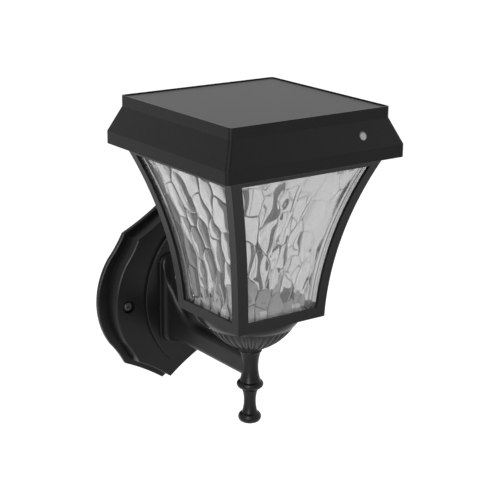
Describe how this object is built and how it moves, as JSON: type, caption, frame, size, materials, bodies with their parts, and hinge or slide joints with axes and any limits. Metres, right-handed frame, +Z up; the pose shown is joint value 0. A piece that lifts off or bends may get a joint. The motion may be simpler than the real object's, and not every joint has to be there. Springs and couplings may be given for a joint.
{
  "type": "solar wall lantern",
  "caption": "Solar wall lantern: flared frame with curved water-glass panes under a square solar roof, on a fluted bowl and arm from a shaped wall plate.",
  "frame": {"origin": "middle of the wall plate's back, on the wall", "axes": "+Z up, +Y into the wall, -Y out towards the viewer, +X to the right of a viewer who faces the wall"},
  "size_m": [0.1712, 0.2261, 0.2823],
  "materials": {
    "coat": "satin black powder coat on cast aluminium",
    "plastic": "satin black moulded plastic",
    "steel": "zinc-plated steel",
    "black_steel": "black-coated steel",
    "water_glass": "clear with a water pattern, slightly grey",
    "panel_glass": "dark grey textured cover glass",
    "cells": "dark blue-black silicon",
    "backsheet": "black circuit board",
    "rubber": "black rubber",
    "white_board": "white solder mask on aluminium",
    "reflector": "white-painted metal",
    "led": "yellow phosphor",
    "opal": "opal white",
    "lens": "pale grey translucent",
    "board": "green solder mask",
    "parts": "black and tan components",
    "button": "dark grey soft-touch",
    "switch": "black",
    "cell_wrap": "blue sleeve",
    "contacts": "nickel-plated spring steel",
    "leads": "red and black insulation"
  },
  "bodies": {
    "lantern": {"mounting_bracket": "steel", "wall_plate": "coat", "plate_screws": "black_steel", "arm": "coat", "arm_screws": "steel", "finial": "coat", "fluted_bowl": "coat", "tie_rod": "steel", "tie_washer": "steel", "tie_nut": "steel", "lantern_frame": "coat", "pane_clips": "reflector", "floor_reflector": "reflector", "cap_gasket": "rubber", "cap_tray": "plastic", "cap_shell": "plastic", "cap_screws": "steel", "solar_glass": "panel_glass", "solar_cells": "cells", "solar_backsheet": "backsheet", "panel_seal": "rubber", "sensor_lens": "lens", "sensor_eye": "parts", "station_screws": "steel", "switch_body": "switch", "led_board": "white_board", "led_chips": "led", "led_diffuser": "opal", "control_board": "board", "control_parts": "parts", "control_screws": "steel", "battery_holder": "plastic", "battery_cell": "cell_wrap", "battery_contacts": "contacts", "leads": "leads", "pane_front": "water_glass", "pane_right": "water_glass", "pane_back": "water_glass", "pane_left": "water_glass", "sensor_board": "board", "switch_board": "board", "led_screws": "steel", "diffuser_screws": "steel"},
    "button": {"mode_button": "button", "switch_plunger": "switch"}
  },
  "joints": [
    {"name": "button_press", "type": "slide", "parent": "lantern", "child": "button", "axis": [0, -0.9171, -0.3987], "range_m": [0, 0.0008], "stiffness_N_per_m": 2000, "springref_m": -0.0006}
  ]
}
